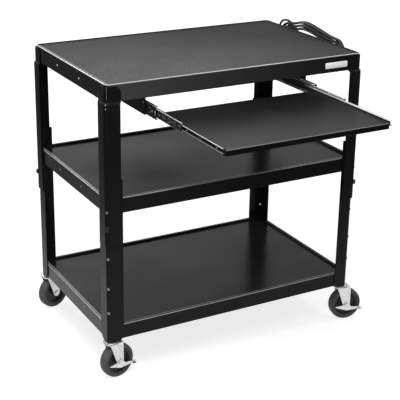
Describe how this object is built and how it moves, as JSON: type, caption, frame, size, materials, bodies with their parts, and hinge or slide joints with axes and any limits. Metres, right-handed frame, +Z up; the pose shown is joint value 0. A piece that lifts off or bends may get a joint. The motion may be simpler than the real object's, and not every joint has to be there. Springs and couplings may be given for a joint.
{
  "type": "computer cart",
  "caption": "Black steel computer cart: matted top and two lower shelves on telescoping angle legs, pull-out keyboard tray, side cord hooks with a wound cord, four swivel casters.",
  "frame": {"origin": "on the floor, under the middle of the cart's box with the tray pulled out, the cord left out of the box", "axes": "+X to the cart's right along the wide side, +Y to the rear (the tray pulls out toward -Y), +Z up"},
  "size_m": [0.8916, 0.8746, 0.8908],
  "materials": {
    "textured_paint": "fine-textured black powder coat",
    "smooth_paint": "semi-gloss black powder coat",
    "mat": "matte pebbled grey anti-slip mat",
    "laminate": "black laminate on board",
    "zinc": "bright zinc plate",
    "black_steel": "black oxide steel",
    "plate": "bare white plate",
    "cord": "black vinyl jacket",
    "socket": "dark grey moulded plastic",
    "tyre": "dark grey soft rubber",
    "wheel": "black moulded wheel core"
  },
  "bodies": {
    "lower_frame": {"bottom_shelf": "smooth_paint", "lower_leg_front_left": "textured_paint", "caster_stem_front_left": "zinc", "lower_leg_front_right": "textured_paint", "caster_stem_front_right": "zinc", "lower_leg_rear_left": "textured_paint", "caster_stem_rear_left": "zinc", "lower_leg_rear_right": "textured_paint", "caster_stem_rear_right": "zinc"},
    "upper_frame": {"top_shelf": "textured_paint", "top_mat": "mat", "middle_shelf": "smooth_paint", "name_plate": "plate", "slide_bracket_left": "smooth_paint", "slide_bracket_right": "smooth_paint", "slide_outer_left": "zinc", "slide_outer_right": "zinc", "power_strip": "smooth_paint", "socket_row": "socket", "cord_hook_front": "black_steel", "cord_hook_rear": "black_steel", "cord_hank": "cord", "cord_lead": "cord", "cord_tail": "cord", "strain_relief": "cord", "plug": "cord", "upper_leg_front_left": "textured_paint", "adjust_bolt_front_left": "black_steel", "upper_leg_front_right": "textured_paint", "adjust_bolt_front_right": "black_steel", "upper_leg_rear_left": "textured_paint", "adjust_bolt_rear_left": "black_steel", "upper_leg_rear_right": "textured_paint", "adjust_bolt_rear_right": "black_steel"},
    "middle_members": {"slide_middle_left": "zinc", "slide_middle_right": "zinc"},
    "tray": {"keyboard_tray": "laminate", "slide_inner_left": "zinc", "slide_inner_right": "zinc"},
    "caster_front_left": {"caster_fork_front_left": "zinc", "caster_axle_front_left": "zinc"},
    "wheel_front_left": {"caster_wheel_front_left": "wheel", "caster_tyre_front_left": "tyre"},
    "brake_front_left": {"brake_lever_front_left": "zinc"},
    "caster_front_right": {"caster_fork_front_right": "zinc", "caster_axle_front_right": "zinc"},
    "wheel_front_right": {"caster_wheel_front_right": "wheel", "caster_tyre_front_right": "tyre"},
    "brake_front_right": {"brake_lever_front_right": "zinc"},
    "caster_rear_left": {"caster_fork_rear_left": "zinc", "caster_axle_rear_left": "zinc"},
    "wheel_rear_left": {"caster_wheel_rear_left": "wheel", "caster_tyre_rear_left": "tyre"},
    "caster_rear_right": {"caster_fork_rear_right": "zinc", "caster_axle_rear_right": "zinc"},
    "wheel_rear_right": {"caster_wheel_rear_right": "wheel", "caster_tyre_rear_right": "tyre"}
  },
  "joints": [
    {"name": "height", "type": "slide", "parent": "lower_frame", "child": "upper_frame", "axis": [0, 0, 1], "range_m": [-0.2032, 0.1016]},
    {"name": "tray_slide", "type": "slide", "parent": "upper_frame", "child": "tray", "axis": [0, 1, 0], "range_m": [0, 0.35]},
    {"name": "middle_slide", "type": "slide", "parent": "upper_frame", "child": "middle_members", "axis": [0, 1, 0], "range_m": [0, 0.175]},
    {"name": "swivel_front_left", "type": "hinge", "parent": "lower_frame", "child": "caster_front_left", "pos_m": [-0.41228, -0.0793, 0.11], "axis": [0, 0, 1], "continuous": true},
    {"name": "spin_front_left", "type": "hinge", "parent": "caster_front_left", "child": "wheel_front_left", "pos_m": [-0.39467, -0.07556, 0.0508], "axis": [-0.2079, 0.9781, 0], "continuous": true},
    {"name": "brake_front_left", "type": "hinge", "parent": "caster_front_left", "child": "brake_front_left", "pos_m": [-0.39467, -0.07556, 0.0508], "axis": [-0.2079, 0.9781, 0], "range_deg": [0, 12]},
    {"name": "swivel_front_right", "type": "hinge", "parent": "lower_frame", "child": "caster_front_right", "pos_m": [0.37672, -0.0793, 0.11], "axis": [0, 0, 1], "continuous": true},
    {"name": "spin_front_right", "type": "hinge", "parent": "caster_front_right", "child": "wheel_front_right", "pos_m": [0.39439, -0.08274, 0.0508], "axis": [0.1908, 0.9816, 0], "continuous": true},
    {"name": "brake_front_right", "type": "hinge", "parent": "caster_front_right", "child": "brake_front_right", "pos_m": [0.39439, -0.08274, 0.0508], "axis": [0.1908, 0.9816, 0], "range_deg": [0, 12]},
    {"name": "swivel_rear_left", "type": "hinge", "parent": "lower_frame", "child": "caster_rear_left", "pos_m": [-0.41228, 0.4047, 0.11], "axis": [0, 0, 1], "continuous": true},
    {"name": "spin_rear_left", "type": "hinge", "parent": "caster_rear_left", "child": "wheel_rear_left", "pos_m": [-0.39516, 0.41026, 0.0508], "axis": [-0.309, 0.9511, 0], "continuous": true},
    {"name": "swivel_rear_right", "type": "hinge", "parent": "lower_frame", "child": "caster_rear_right", "pos_m": [0.37672, 0.4047, 0.11], "axis": [0, 0, 1], "continuous": true},
    {"name": "spin_rear_right", "type": "hinge", "parent": "caster_rear_right", "child": "wheel_rear_right", "pos_m": [0.39455, 0.4072, 0.0508], "axis": [-0.1392, 0.9903, 0], "continuous": true}
  ],
  "couplings": [
    {"joint": "middle_slide", "follows": "tray_slide", "ratio": 0.5}
  ]
}
